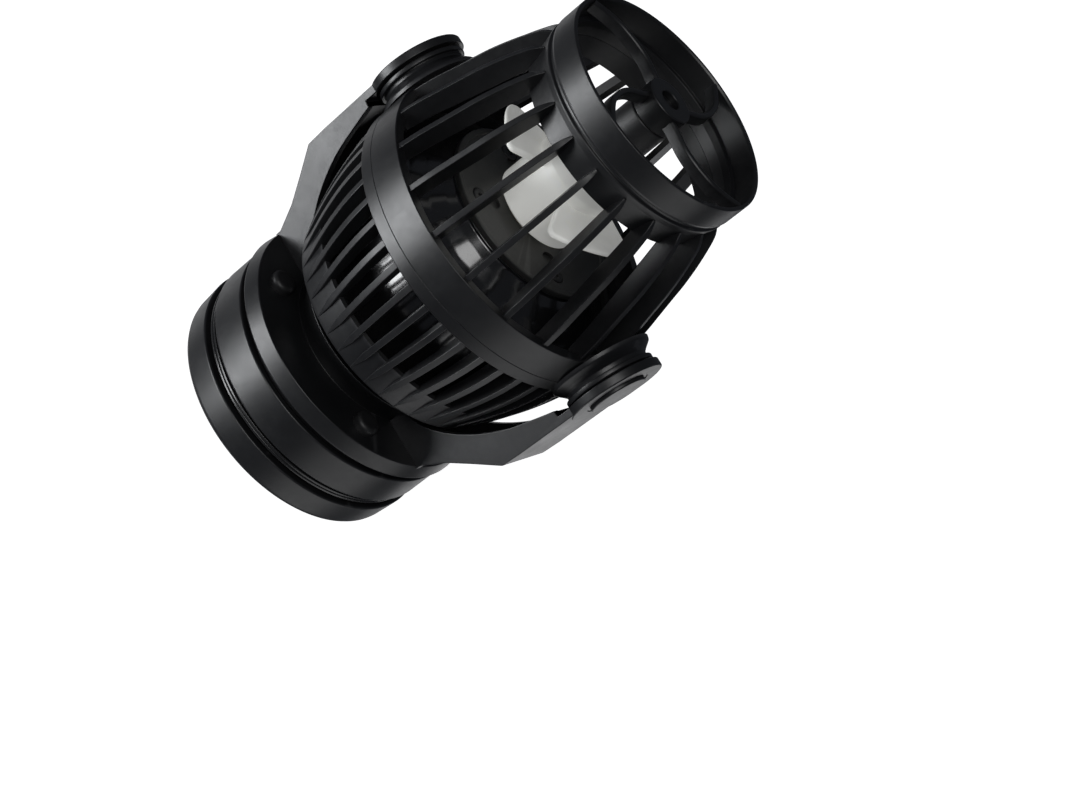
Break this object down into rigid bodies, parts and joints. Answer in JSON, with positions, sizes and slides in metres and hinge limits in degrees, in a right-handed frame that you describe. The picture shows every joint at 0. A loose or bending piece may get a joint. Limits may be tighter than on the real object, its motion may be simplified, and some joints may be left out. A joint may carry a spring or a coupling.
{
  "type": "wave maker pump",
  "caption": "Aquarium wave maker pump: magnet clamp through the glass, swivelling U bracket, tilting caged pump head with a swept-vane outlet nozzle.",
  "frame": {"origin": "centre of the flat outer face of the dry-side magnet holder", "axes": "+Z along the pump axis from the magnet clamp to the outlet nozzle, X along the tilt axis of the head, the power cable leaves on the +Y side"},
  "size_m": [0.0944, 0.086, 0.1328],
  "materials": {
    "black_satin": "satin moulded plastic",
    "black_face": "satin moulded plastic",
    "pad_rubber": "smooth rubber",
    "magnet_steel": "nickel plated",
    "acetal": "natural acetal",
    "stainless": "plain",
    "black_gloss": "gloss",
    "cap_grey": "satin",
    "prop_grey": "smooth",
    "ceramic_shaft": "polished",
    "lamination": "stacked sheets",
    "copper": "enamelled wire",
    "board": "solder mask",
    "seal_rubber": "moulded",
    "cable_jacket": "extruded"
  },
  "bodies": {
    "dry_magnet": {"outer_magnet_shell": "black_satin", "outer_magnet": "magnet_steel", "outer_pad": "pad_rubber"},
    "wet_magnet": {"inner_magnet_shell": "black_satin", "inner_magnet": "magnet_steel", "inner_pad": "pad_rubber", "swivel_washer": "black_face", "swivel_keeper": "stainless", "swivel_screw": "stainless"},
    "bracket": {"bracket": "black_satin", "swivel_plate": "black_face", "base_screws": "black_face", "pivot_pins": "black_satin", "pivot_washers": "acetal"},
    "front_cage": {"front_cage": "black_satin", "outlet_nozzle": "black_satin", "front_bearing": "acetal"},
    "motor_unit": {"rear_cage": "black_satin", "motor_housing": "black_gloss", "motor_rear_cap": "black_face", "motor_front_cap": "cap_grey", "cap_screws": "stainless", "stator_core": "lamination", "stator_coils": "copper", "drive_board": "board", "rear_bearing": "acetal", "flange_seal": "seal_rubber", "cable_gland": "seal_rubber", "power_cable": "cable_jacket"},
    "rotor": {"shaft": "ceramic_shaft", "rotor_magnet": "magnet_steel", "rotor_sleeve": "acetal", "propeller": "prop_grey", "propeller_nut": "black_face"}
  },
  "joints": [
    {"name": "glass_gap_slide", "type": "slide", "parent": "dry_magnet", "child": "wet_magnet", "axis": [0, 0, 1], "range_m": [0, 0.015]},
    {"name": "bracket_swivel", "type": "hinge", "parent": "wet_magnet", "child": "bracket", "pos_m": [0, 0, 0.0235], "axis": [0, 0, 1], "continuous": true},
    {"name": "head_tilt", "type": "hinge", "parent": "bracket", "child": "front_cage", "pos_m": [0, 0, 0.0817], "axis": [1, 0, 0], "range_deg": [-60, 60]},
    {"name": "cage_bayonet", "type": "hinge", "parent": "front_cage", "child": "motor_unit", "pos_m": [0, 0, 0.0765], "axis": [0, 0, 1], "range_deg": [0, 15]},
    {"name": "rotor_spin", "type": "hinge", "parent": "motor_unit", "child": "rotor", "pos_m": [0, 0, 0.09], "axis": [0, 0, 1], "continuous": true}
  ]
}
